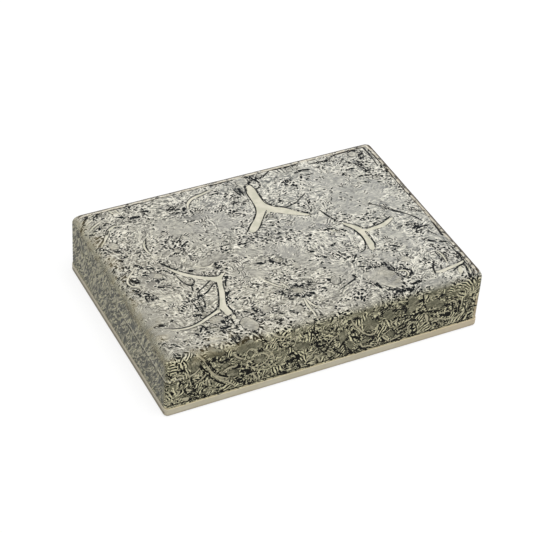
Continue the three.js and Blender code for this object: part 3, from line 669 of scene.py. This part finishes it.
def lay_strokes(sheet, lines, height=0.0, unevenness=0.0):
    """Runs the tree once on a sheet of paper and keeps the result as the sheet's own mesh."""
    holder = bpy.data.objects.new(lines.name, lines)
    modifier = sheet.modifiers.new("strokes", "NODES")
    modifier.node_group = strokes_tree
    soft_edge = 0.0003
    values = {"Lines": holder, "Stroke Name": lines.name, "Way Name": lines.name + "_way"}
    values |= {"Stroke Height": height, "Soft Edge": soft_edge}
    values |= {"Unevenness": unevenness, "Paper": paper_material}
    for item in strokes_tree.interface.items_tree:
        if item.name in values:
            modifier[item.identifier] = values[item.name]
    shown = bpy.context.evaluated_depsgraph_get()
    evaluated = sheet.evaluated_get(shown)
    baked = bpy.data.meshes.new_from_object(evaluated, preserve_all_data_layers=True, depsgraph=shown)
    sheet.modifiers.remove(modifier)
    sheet.data = baked
    bpy.data.objects.remove(holder)


def lay_painting(sheet):
    """Lays the painting's strokes on a sheet: the branches with their height, the rest flat."""
    rib_height = 0.0002
    unevenness = 0.0002  # what the sheet's ground rises and falls, as it was pasted on by hand
    lay_strokes(sheet, branch_lines, rib_height, unevenness)
    for lines in (ink_lines, stone_lines, calm_lines, wash_lines):
        lay_strokes(sheet, lines)


def srgb(*levels):
    """A colour as a painter would read it off a chart, from 0 to 255, made linear."""
    toe = 10  # up to here the chart's scale is a straight line
    linear = [(v / 255 / 12.92 if v <= toe else ((v / 255 + 0.055) / 1.055) ** 2.4) for v in levels]
    return (*linear, 1)


class Finish(Tree):
    """A surface's node material."""

    def __init__(self, name):
        self.material = bpy.data.materials.new(name)
        self.material.use_nodes = True
        self.material.node_tree.nodes.clear()
        super().__init__(self.material.node_tree)
        self.place = self.node("ShaderNodeTexCoord", output="Object")

    def noise(self, size, detail=2, rough=0.5, at=None, seed=0):
        """Smooth noise about a half, with blots of a size in metres."""
        where = at or self.place
        if seed:
            where = where.moved((seed, seed * 0.7, -seed))
        inputs = {"Vector": where, "Scale": 1 / size, "Detail": detail, "Roughness": rough}
        return self.node("ShaderNodeTexNoise", {}, inputs)

    def painted(self, colour, *coats):
        """The colour under coats of others, each with how much of it covers the ones below."""
        for amount, levels in coats:
            colour = self.mix(amount, colour, srgb(*levels))
        return colour

    def shades(self, amount, colours):
        """A colour from a scale of five, darkest first."""
        positions = (0.0, 0.3, 0.55, 0.8, 1.0)
        stops = [(position, srgb(*levels)) for position, levels in zip(positions, colours)]
        return self.node("ShaderNodeValToRGB", {"stops": stops}, {"Fac": amount})

    def relief(self, strength, height):
        """The input that makes a surface rise and fall a little with a height."""
        inputs = {"Strength": strength, "Distance": 0.0002, "Height": height}
        return {"Normal": self.node("ShaderNodeBump", {}, inputs)}

    def finish(self, colour, roughness, specular, others=None):
        """The material of this colour, with any other inputs of its shader."""
        inputs = {"Base Color": colour, "Roughness": roughness, "Specular IOR Level": specular}
        inputs |= others or {}
        shader = self.node("ShaderNodeBsdfPrincipled", {}, inputs)
        self.node("ShaderNodeOutputMaterial", {}, {"Surface": shader})
        return self.material


# The painting's ground, over the lid and the base alike, is of small touches of colour: cool and warm
# grey on the top, and olive down the walls. They are brushed in small tufts that lean nearly the same
# way as their neighbours. The top and the end walls are painted paler towards the back, as painted light.
painting = Finish("decorated_paper")
across, depth, height = painting.place.parts()
from_left, from_right = across + half_length, half_length - across
from_front, from_back = depth + half_width, half_width - depth
to_end, to_side = from_left.smaller(from_right), from_front.smaller(from_back)
from_far_edges = from_right.smaller(from_back)

# the parts of the box: the flat top, the front and the other walls, low down, and near the corners
wall = (height + across * 0.012).ramp(0.0315, 0.0270)
flat = 1 - wall
front = from_front.ramp(0.0032, 0.0012)
front_wall = wall * front
side_wall = wall * (1 - front)
drawn = 1 - side_wall
low = height.ramp(0.017, 0.007)
corner = to_end.larger(to_side).ramp(0.018, 0.005)

# the sheet is swirled a little before the brush's tufts are laid on it
swirl_size = 0.007
swirl = painting.noise(swirl_size).other("Color").moved((-0.5, -0.5, -0.5)).stretched((swirl_size,) * 3)
drift = painting.place.moved(swirl)
bend = swirl.stretched((1, 1, 0)).scaled(0.5 - side_wall * 0.42)
sheet = painting.node("ShaderNodeUVMap", {"uv_map": "paper"}).moved(bend)


def attribute(name):
    """The three values that the laid strokes have left here: side, distance and width, or a way."""
    return painting.node("ShaderNodeAttribute", {"attribute_name": name}, output="Vector").parts()


def cells(where, size, output="Position"):
    """The middle of the cell that a place lies in, or another output, and three chances of the cell."""
    settings = {"voronoi_dimensions": "2D", "feature": "F1"}
    found = painting.node("ShaderNodeTexVoronoi", settings, {"Vector": where, "Scale": 1 / size}, output)
    chance = painting.node("ShaderNodeSeparateColor", {}, {"Color": found.other("Color")})
    return found, chance, chance.other("Green"), chance.other("Blue")


def tuft(size, seed):
    """The place in a tuft, turned to how it leans."""
    where = sheet.moved((seed, seed, 0))
    middle, chance, x, y = cells(where, size)
    lean = (painting.noise(0.022, detail=1, at=middle) - 0.5) * 6 + (chance - 0.5) * 0.9 + 0.25
    lean = lean * drawn + side_wall * (0.6 + (chance - 0.5) * 0.5)
    inputs = {"Vector": where.vector("SUBTRACT", middle), "Angle": lean}
    leaning = painting.node("ShaderNodeVectorRotate", {"rotation_type": "Z_AXIS"}, inputs)
    return leaning.moved(painting.node("ShaderNodeCombineXYZ", {}, {"X": x, "Y": y}))


def placed(name, soft):
    """How far a place lies inside the strokes of a name, with an uneven edge."""
    _, distance, width = attribute(name)
    return (distance - width * 0.5 + (painting.noise(0.004, seed=81) - 0.5) * 0.009).ramp(soft, -soft)


def picked(share, chance):
    """1 in a share of the cells, by their chance."""
    return (share - chance).ramp(0, 0.015)


# where strokes crowd, where they are calm or washed over, and the touches and larger dabs themselves
grain = painting.noise(0.0026, detail=1, seed=21)
blots = painting.noise(0.006, detail=1, seed=23)
crowd = painting.noise(0.0075, seed=5)
crowded, half_crowded = crowd.ramp(0.45, 0.62), crowd.ramp(0.42, 0.56)
patches = painting.noise(0.03, seed=2) * 0.45 + painting.noise(0.008, detail=3, at=drift, seed=3) * 0.55
clouds = painting.noise(0.005, detail=3, rough=0.6, at=drift.stretched((0.55, 0.9, 1)), seed=7)
_, from_stone, stone_width = attribute("stone")
stone_edge = from_stone - stone_width * (grain * 0.4 + blots * 0.4 + 0.1)
calm = placed("calm", soft=0.0022).larger(stone_edge.ramp(0.0002, -0.0004) * 0.6)
lively = 1 - calm
wash = placed("wash", soft=0.0016)
touch_size = 0.00045
touch_shape = {"X": 0.32 - side_wall * 0.18, "Y": 1 - side_wall * 0.2}
small_tuft = tuft(size=0.0055, seed=3.3).stretched(painting.node("ShaderNodeCombineXYZ", {}, touch_shape))
touch, tone, touch_ink, touch_pale = cells(small_tuft, touch_size, "Distance")
dab_size = 0.00115
large_tuft = tuft(size=0.0085, seed=5.9)
dab, shade, dab_ink, dab_pale = cells(large_tuft.stretched((0.62, 1, 0)), dab_size, "Distance")

# the colours of the touches, from dark to pale
# painted light: the top is painted paler, and cooler, towards the back right, as if lit from there
back = across * 0.7 + depth * 0.6
stir = (1 - calm * 0.55) * (crowd.ramp(0.3, 0.6) * 0.2 + 0.8) * (1 + wall * 0.3)
touches = (tone - 0.5) * (0.96 - front_wall * 0.3 + side_wall * (low * 0.5 + 1.3))
dabs = (shade - 0.5) * (1 - side_wall * 0.7) * 0.3
tint = (touches + dabs) * stir + (clouds - 0.5) * (1 - side_wall * 0.5) * 0.35
# painted light on the top towards the back; the end walls get painted light towards the back and painted
# shade towards the front
tint += back * flat + depth * side_wall * 3.6 - wash * 0.23
tint += clouds.ramp(0.52, 0.68) * lively * 0.12 - crowded * lively * flat * 0.06
tint = tint * (1 - side_wall * 0.25) + 0.545 - side_wall * (low * 0.2 + 0.13) - front_wall * 0.01
greys = (66, 68, 67), (132, 132, 126), (176, 174, 164), (220, 217, 202), (252, 248, 234)
olives = (36, 36, 27), (92, 91, 72), (137, 135, 109), (198, 191, 162), (250, 242, 210)
cool = patches.ramp(0.53, 0.46) * (1 - wall * 0.7)
ground = painting.painted(
    painting.mix(wall * 0.96, painting.shades(tint, greys), painting.shades(tint, olives)),
    ((cool * 0.12 + calm * 0.1) * flat, (172, 170, 170)),
    # painted light: warmer grey towards the front left and cooler grey towards the back right
    (back.ramp(0.01, -0.04) * flat * 0.16, (190, 178, 146)),
    (back.ramp(0, 0.04) * flat * 0.1, (160, 168, 176)),
    (side_wall * 0.45, (142, 142, 134)),
)

# dashes of ink in loose clusters, and bare paper showing between the touches
dark = painting.mix(wall, srgb(22, 25, 27), srgb(8, 8, 5))
bare = painting.mix(wall, srgb(248, 244, 230), srgb(255, 249, 210))
busy = 1 - calm * 0.9
cluster = crowded * busy
share = cluster * 0.12 + wash * 0.13 * busy + corner * 0.04 + wall * (half_crowded * 0.14 + 0.03) * busy
share += low * 0.05 * wall + lively * 0.05 + 0.015
inked = picked(share * (1 - side_wall * 0.6), touch_ink)
bold = cluster * 0.66 + wash * 0.4 * busy + corner * 0.1 + 0.03
bold += (front * half_crowded * 0.4 * busy + low * 0.1) * front_wall
dabbed = picked(bold * drawn, dab_ink)
ink = (inked * touch.ramp(0.44, 0.36)).larger(dabbed * dab.ramp(0.43, 0.38))
pale = picked(share * 0.9 + busy * 0.05, touch_pale) * touch.ramp(0.52, 0.44)
pale = pale.larger(dabbed * dab.ramp(0.44, 0.49) * 0.8).larger(inked * touch.ramp(0.46, 0.54) * 0.5)
pale = pale * (1 - ink)
chips = picked(0.16, touch_pale) * touch.ramp(0.44, 0.36)
chips = chips.larger(picked(0.3, dab_pale) * dab.ramp(0.4, 0.34))

# long pale threads between thin lines of ink
for size, seed, strength in ((0.0052, 51, 0.8), (0.0036, 57, 0.7)):
    field = painting.noise(size, detail=1, rough=0.4, at=drift.stretched((0.6, 1, 1)), seed=seed)
    apart = (field - 0.5).size() / 0.012
    kept = painting.noise(0.0045, detail=1, seed=seed + 1).ramp(0.5, 0.56) * busy * drawn
    thread, thread_ink = apart.ramp(1.1, 0.8) * kept, apart.ramp(0.8, 1.1) * apart.ramp(2.2, 1.8) * kept
    ink = (ink * (1 - thread)).larger(thread_ink * (wall * 0.4 + 0.4))
    pale = pale.larger(thread * strength)

# blossoms: a smooth stone with short spikes of ink round it, larger where they are drawn one by one
jitter = painting.noise(0.002, detail=1, seed=19) * 9


def spiky(edge, angle, count, reach, kept):
    """Ink, bare paper and the smooth middle of blossoms whose edges and angles are given."""
    turns = (angle * count + jitter + edge * 700).sine()
    band = edge.ramp(-0.0006, 0.0001) * (edge / (grain.ramp(0.36, 0.62) * reach + 0.0002)).ramp(1, 0.8)
    band = band * kept * blots.ramp(0.4, 0.5)
    rim = edge.size().ramp(0.00032, 0.00016) * kept * grain.ramp(0.44, 0.5)
    spikes = (turns.ramp(0.1, 0.35) * band).larger(rim * 0.9)
    return spikes, turns.ramp(-0.1, -0.4) * band, edge.ramp(0.0002, -0.0004) * kept


def scattered(spacing, smallest, largest, reach, share, seed):
    """The same of blossoms that stand in a share of the cells of a spacing, each with its own size."""
    where = sheet.moved((seed, seed, 0))
    middle, chance, keep_chance, count_chance = cells(where, spacing)
    away = where.vector("SUBTRACT", middle)
    x, y, _ = away.parts()
    radius = chance * (largest - smallest) + smallest
    edge = away.vector("LENGTH", output="Value") - radius * (grain * 0.5 + blots * 0.6 + 0.45)
    count = (count_chance * 9 + 8).math("ROUND")
    return spiky(edge, y.math("ARCTAN2", y, x), count, reach, (share - keep_chance).ramp(0, 0.02))


way_x, way_y, way_z = attribute("stone_way")
stone_angle = way_y.math("ARCTAN2", way_y + way_z, way_x)
free = stone_edge.ramp(0.003, 0.005)
hidden = from_far_edges.ramp(0.0015, 0.0005)
small_share = hidden * 0.4 + 0.25 - side_wall * 0.2
large = scattered(spacing=0.0145, smallest=0.0014, largest=0.0048, reach=0.0034, share=hidden * 0.6, seed=1.3)
small = scattered(spacing=0.0070, smallest=0.0006, largest=0.0022, reach=0.0020, share=small_share, seed=4.1)
blossoms = [spiky(stone_edge, stone_angle, count=13, reach=front * 0.0016 + 0.0018, kept=1)]
blossoms += [[part * free for part in scattering] for scattering in (large, small)]
drawn_plain, large_plain, small_plain = (middle for _, _, middle in blossoms)
plain = drawn_plain.larger(large_plain).larger(small_plain * 0.8) * 0.85
smooth = painting.noise(0.0035, at=drift, seed=33).ramp(0.35, 0.65)
stones = painting.mix(
    wall,
    painting.mix(smooth, srgb(160, 158, 150), srgb(212, 206, 186)),
    painting.mix(smooth, srgb(100, 99, 84), srgb(146, 143, 124)),
)
ground = painting.mix(plain * 0.4, ground, stones)
ink, pale = ink * (1 - plain), pale * (1 - plain)
for spikes, gaps, _ in blossoms:
    ink, pale = ink.larger(spikes), pale.larger(gaps)

# outlines of small leaves, and close rows of bent strokes in places, thickest low on the front
inputs = {"Vector": drift, "Scale": 1 / 0.0048}
leaves = painting.node("ShaderNodeTexVoronoi", {"feature": "DISTANCE_TO_EDGE"}, inputs)
open_ground = (1 - plain) * drawn
ink = ink.larger(leaves.ramp(0.07, 0.04) * grain.ramp(0.5, 0.56) * (wall * 0.3 + 0.2) * open_ground)
rows = (large_tuft.parts()[0] * 4400 + grain * 6 + crowd * 8).sine()
dense = painting.noise(0.006, seed=39) + low * 0.08 * wall + corner * 0.1 - 0.05
dense += wall * (from_left.ramp(0.095, 0.135) * 0.05 + 0.08)
dense = dense.ramp(0.56, 0.6) * blots.ramp(0.38, 0.46) * grain.ramp(0.6, 0.52)
dense = dense * (wall * 0.3 + 0.7) * open_ground
ink = (ink * (1 - dense)).larger(rows.ramp(0.05, 0.3) * dense)
pale = (pale * (1 - dense)).larger(rows.ramp(-0.1, -0.35) * dense)
shown = 1 - side_wall * 0.55
colour = painting.mix(pale * shown * (wall * 0.2 + 0.8), ground, bare)
colour = painting.mix(ink * shown, colour, dark)

# the branches in thick cream, with thin outlines made wider on the side away from the light, as painted
# shadow of the raised branch, and lines drawn with ink
ragged = (painting.noise(0.0025, seed=41) - 0.5) * 0.0008
cream = painting.painted(
    srgb(208, 205, 186),
    (painting.noise(0.004, detail=3, seed=47).ramp(0.4, 0.6), (224, 219, 201)),
    (wall * 0.8, (216, 208, 174)),
)
branch_side, from_branch, wide = attribute("branch")
off_x, off_y, off_z = attribute("branch_way")
near_branch = (from_branch - wide * 0.5).ramp(0.0012, 0.0008)
from_edge = branch_side.size() - wide / 2 + ragged * (wide * 300).smaller(1)
# the outline is drawn, and it is wider on the side away from the light: painted shadow of the raised branch
outline_and_shadow_width = (off_x * 0.6 + off_y * 0.7 + off_z * 0.4).ramp(-0.9, 0.8) * 0.0004 + 0.0003
outline = from_edge.ramp(-0.0001, 0.0001) * (from_edge / outline_and_shadow_width).ramp(1.3, 0.9) * grain.ramp(0.36, 0.5)
colour = painting.mix(outline * near_branch * wide.ramp(0.0003, 0.0009) * 0.85, colour, dark)
colour = painting.mix(from_edge.ramp(0.0001, -0.0001) * near_branch, colour, cream)
line_side, from_middle, line_width = attribute("ink")
from_line = line_side.size() - line_width * 0.7 + ragged * 0.3 - 0.00005
near_line = (from_middle - line_width * 0.64).ramp(0.0006, 0.0003)
colour = painting.mix(from_line.ramp(0.00008, -0.00008) * near_line, colour, dark)
colour = painting.mix(from_line.ramp(-0.00025, -0.0004) * near_line * chips * 0.85, colour, bare)

# The back and right edges carry thin brown lines of painted shade where they turn out of sight from the
# front left, with a pale band of painted highlight and a second line of painted shade inside them. A line
# of painted shade also runs down the outline at the right end of the front. The other edges are rubbed
# yellow. A pale strip runs down the right end of the front, and the seam's edge is rubbed pale at the
# front left corner. A plain border is left at the foot of the base.
at_back = from_back.ramp(0.008, 0.006)
# where the painted shade and highlight lie: on the back and right edges, near the outline
outline_shade_and_highlight = at_back.larger(from_right.ramp(0.011, 0.009)) * (height - at_back * 0.0006).ramp(0.0297, 0.0301)
past = from_far_edges + (blots - 0.5) * 0.0008 - at_back * 0.0005 - 0.0029
second_shade_line = (past - 0.0016 + (grain - 0.5) * 0.0008).size().ramp(0.0003, 0.0001)
rounded = from_front.ramp(0.0022, 0.0015)
strip = from_right.ramp(0.0028, 0.0020) * rounded * height.ramp(0.0190, 0.0165)
near = to_end.smaller(to_side).ramp(0.009, 0.004) * height.ramp(0.0235, 0.0275) * (1 - outline_shade_and_highlight)
worn = from_left.ramp(0.015, 0.011) * depth.ramp(0.006, -0.002) * wall * grain.ramp(0.34, 0.46)
above_seam = height - seam
colour = painting.painted(
    colour,
    # a pale band of painted highlight, a brown line of painted shade at the outline, and a second line of
    # painted shade
    (outline_shade_and_highlight * past.ramp(0.0018, 0.0013) * grain.ramp(0.38, 0.5) * 0.65, (236, 228, 208)),
    (outline_shade_and_highlight * past.ramp(0.0003, -0.0001) * 0.95, (70, 58, 45)),
    (outline_shade_and_highlight * second_shade_line * blots.ramp(0.42, 0.5) * 0.8, (74, 62, 48)),
    (strip * grain.ramp(0.36, 0.46) * 0.75, (232, 212, 176)),
    # a dark line of painted shade at the outline of the front's right end
    (from_right.ramp(0.0009, 0.0006) * rounded * 0.7, (120, 98, 72)),
    (near * from_left.ramp(0.065, 0.015) * clouds.ramp(0.46, 0.6) * 0.2, (176, 158, 112)),
    ((above_seam - 0.0004).size().ramp(0.0005, 0.0003) * worn * 0.75, (246, 240, 218)),
    ((above_seam + 0.0008).size().ramp(0.0005, 0.0003) * worn * 0.75, (52, 50, 40)),
)
border = (height + (painting.noise(0.004, seed=61) - 0.5) * 0.0034).ramp(0.0047, 0.0044)
border_cream = painting.mix(side_wall * 0.8, srgb(214, 203, 168), srgb(158, 155, 130))
colour = painting.mix(border, colour, border_cream)
roughness = smooth * 0.1 + blots * 0.2 + 0.35
tooth = painting.noise(0.0009, seed=71) * 0.5 + pale * 0.5 - ink * 0.5
paper_material = painting.finish(colour, roughness, specular=0.08, others=painting.relief(0.25, tooth))

lay_painting(lid_paper)
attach(lid_paper, "lid")
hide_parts("lid_cover")


# The base's cover is one band of the same decorated paper, pasted round the walls from the foot board up.
# It is folded over the rim and pasted down inside, and the painting runs on over it from the lid.
collar_inset = 0.0033
base_wall_inset = 0.0029
rim_step = 0.001
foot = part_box("base_cover")[0].z
turned_down = seam - turn_in
base_inside = (
    [folded]
    + walk(folded, (collar_inset, seam, inner_corner), rim_step)
    + walk((collar_inset, seam, inner_corner), (collar_inset, turned_down, inner_corner), turn_in_step)
    + [(base_wall_inset, turned_down, block_corner), (base_wall_inset, seam - paper, block_corner)]
    + [(paper, seam - paper, wall_corner - paper), (paper, foot, wall_corner - paper)]
)
outside_foot = (sunk, foot, sheet_corner)
base_outside = [outside_foot] + walk(outside_foot, (sunk, seam - fold, sheet_corner))
base_mesh = paper_mesh("base_paper", base_inside, base_outside, to_seam + seam - foot, False)
base_paper = added("base_paper", base_mesh)
lay_painting(base_paper)
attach(base_paper, "base")
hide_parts("base_cover")


# The foot board is a plain board glued under the base and painted cream. Its lower edge is eased, and
# it is darker towards the bottom, with a thin brown line low on the sides and a fainter one on the front.
def dress(material, *names):
    """Gives CAD nodes, which stay as they are, their material."""
    for name in names:
        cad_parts[name].data.materials.clear()
        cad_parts[name].data.materials.append(material)


foot_paint = Finish("foot_paint")
blotches = foot_paint.noise(0.012, detail=3)
x, y, z = foot_paint.place.parts()
side = 1 - y.ramp(-0.0505, -0.0515)
rise = z + (foot_paint.noise(0.003, seed=3) - 0.5) * 0.0008
paint = foot_paint.painted(
    foot_paint.mix(blotches.ramp(0.4, 0.62), srgb(227, 218, 192), srgb(235, 227, 204)),
    (x.ramp(0.02, 0.075) * 0.5, (234, 212, 176)),
    (side * 0.85, (224, 216, 196)),
    ((rise - 0.0019).size().ramp(0.0009, 0.0004) * side * 0.85, (138, 126, 102)),
    ((rise - 0.0012).size().ramp(0.0005, 0.0001) * (1 - side) * 0.5, (205, 192, 160)),
    (rise.ramp(0.0016, 0.0004) * 0.5, (176, 165, 142)),
)
dress(foot_paint.finish(paint, roughness=0.5 + blotches * 0.1, specular=0.2), "foot_board")


# The shells are pulp of rag paper, pressed over a block in layers and dried. They are warm grey-brown
# and slightly hairy where no paper covers them.
pulp = Finish("pulp")
fibres = pulp.noise(0.0015, detail=4, rough=0.65, at=pulp.place.stretched((1, 0.5, 0.8)))
pulp_colour = pulp.mix(fibres.ramp(0.4, 0.62), srgb(166, 154, 130), srgb(192, 181, 156))
hairs = pulp.relief(0.4, fibres)
pulp_material = pulp.finish(pulp_colour, roughness=0.8 + fibres * 0.1, specular=0.2, others=hairs)
dress(pulp_material, "base_shell", "lid_shell")


# The collar is four strips of pasteboard, mitred at the corners and glued inside the base. It stands up
# past the seam, and its top edge is bevelled to lead the lid on.
board = Finish("pasteboard")
layers = board.noise(0.004, detail=3, at=board.place.stretched((1, 1, 6)))
board_colour = board.mix(layers.ramp(0.38, 0.6), srgb(196, 186, 160), srgb(214, 205, 181))
board_material = board.finish(board_colour, roughness=0.75 + layers * 0.1, specular=0.2)
dress(board_material, "collar_front", "collar_right", "collar_back", "collar_left")


# The linings are two sheets of plain rag paper, pasted on the floor of the base and under the top of
# the lid. They are slightly foxed with age.
lining = Finish("lining_paper")
foxing = lining.noise(0.02, detail=3)
lining_colour = lining.mix(foxing.ramp(0.35, 0.65), srgb(214, 206, 184), srgb(226, 220, 201))
lining_material = lining.finish(lining_colour, roughness=0.8 + foxing * 0.1, specular=0.2)
dress(lining_material, "base_lining", "lid_lining")


# The floor is a plain pale sheet that the camera sees as white, with the box's faint shadow on it. It
# lights the box as a mid-grey one would.
floor_reach = 3
floor_mesh = bpy.data.meshes.new("floor")
corners = [(x * floor_reach, y * floor_reach, 0) for x, y in ((-1, -1), (1, -1), (1, 1), (-1, 1))]
floor_mesh.from_pydata(corners, [], [(0, 1, 2, 3)])
floor = added("floor", floor_mesh)


def grey(level):
    """An even grey, from 0 for black to 1 for white."""
    return (level, level, level, 1)


def seen_directly(tree):
    """1 for what the camera sees, also by way of a shine or through something, and 0 for other light."""
    rays = tree.node("ShaderNodeLightPath", output="Is Camera Ray")
    return rays.larger(rays.other("Is Glossy Ray")).larger(rays.other("Is Transmission Ray"))


card = Finish("floor")
seen = seen_directly(card)
card_colour = card.mix(seen, grey(0.5), grey(0.25))
glow = {"Emission Color": card.mix(seen, grey(0), grey(0.78)), "Emission Strength": 1.0}
floor_mesh.materials.append(card.finish(card_colour, roughness=1.0, specular=0.0, others=glow))


# The room is soft and even, and one broad lamp stands above the front of the box. The room's walls are
# white where the camera sees them.
world = bpy.data.worlds.new("room")
world.use_nodes = True
world.node_tree.nodes.clear()
bpy.context.scene.world = world
room = Tree(world.node_tree)
room_light = 0.325
room_colour = room.mix(seen_directly(room), grey(room_light), grey(1))
shader = room.node("ShaderNodeBackground", {}, {"Color": room_colour, "Strength": 1.0})
room.node("ShaderNodeOutputWorld", {}, {"Surface": shader})

sun = added("sun", bpy.data.lights.new("sun", "SUN"))
sun.data.energy = 2.15
sun.data.angle = math.radians(40)
sun.rotation_euler = Vector((0.05, -0.18, 1)).to_track_quat("Z", "Y").to_euler()

bpy.context.scene.view_settings.view_transform = "Standard"
